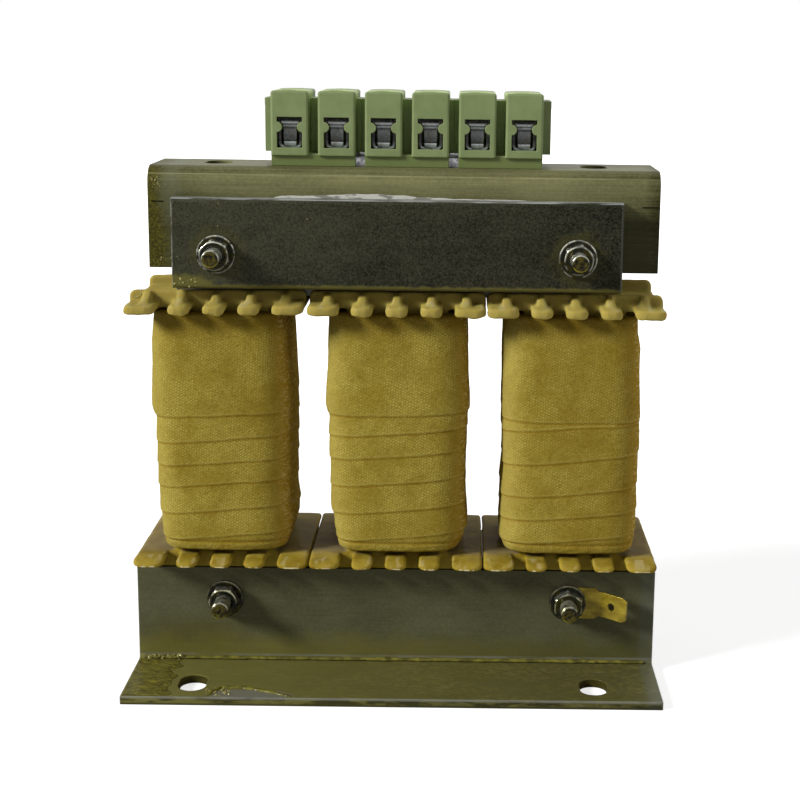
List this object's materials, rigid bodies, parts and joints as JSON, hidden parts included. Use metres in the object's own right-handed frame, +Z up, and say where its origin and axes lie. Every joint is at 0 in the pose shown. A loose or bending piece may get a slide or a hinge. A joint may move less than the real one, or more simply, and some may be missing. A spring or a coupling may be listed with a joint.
{
  "type": "three-phase iron-core reactor",
  "caption": "Three-phase iron-core reactor: taped coils on an E core between angle feet and a clamped channel, with a terminal row on top.",
  "frame": {"origin": "on the ground under the middle of the core, at the centre of the four foot slots", "axes": "+X along the row of coils to the right seen from the label side, +Y from the label side to the rear, +Z up"},
  "size_m": [0.151, 0.09, 0.1674],
  "materials": {
    "core_steel": "varnished sheet stack",
    "gap_sheet": "insulating sheet",
    "bracket_steel": "dark steel under amber varnish",
    "channel_steel": "steel under amber varnish",
    "bar_steel": "dark speckled steel under varnish",
    "label_paper": "bare",
    "zinc_steel": "bright zinc plate",
    "tab_brass": "dull",
    "bobbin_plastic": "amber, glossy with varnish",
    "copper": "enamelled copper wire",
    "tape_cloth": "varnished woven tape",
    "green_plastic": "satin"
  },
  "bodies": {
    "root": {"core_e_stack": "core_steel", "core_yoke": "core_steel", "gap_spacer_left": "gap_sheet", "gap_spacer_center": "gap_sheet", "gap_spacer_right": "gap_sheet", "bottom_bracket_front": "bracket_steel", "bottom_bracket_rear": "bracket_steel", "top_channel": "channel_steel", "clamp_bar_front": "bar_steel", "clamp_bar_rear": "bar_steel", "label": "label_paper", "upper_bolts": "zinc_steel", "lower_bolts": "zinc_steel", "clamp_nuts": "zinc_steel", "front_washers": "zinc_steel", "rear_washers": "zinc_steel", "wire_cages": "zinc_steel", "clamp_screws": "zinc_steel", "housing_screws": "zinc_steel", "terminal_rail": "zinc_steel", "contact_strips": "zinc_steel", "earth_tab": "tab_brass", "bobbin_left": "bobbin_plastic", "bobbin_center": "bobbin_plastic", "bobbin_right": "bobbin_plastic", "winding_left": "copper", "winding_center": "copper", "winding_right": "copper", "tape_wrap_left": "tape_cloth", "tape_wrap_center": "tape_cloth", "tape_wrap_right": "tape_cloth", "terminal_housing_left": "green_plastic", "terminal_housing_center": "green_plastic", "terminal_housing_right": "green_plastic"}
  },
  "joints": []
}
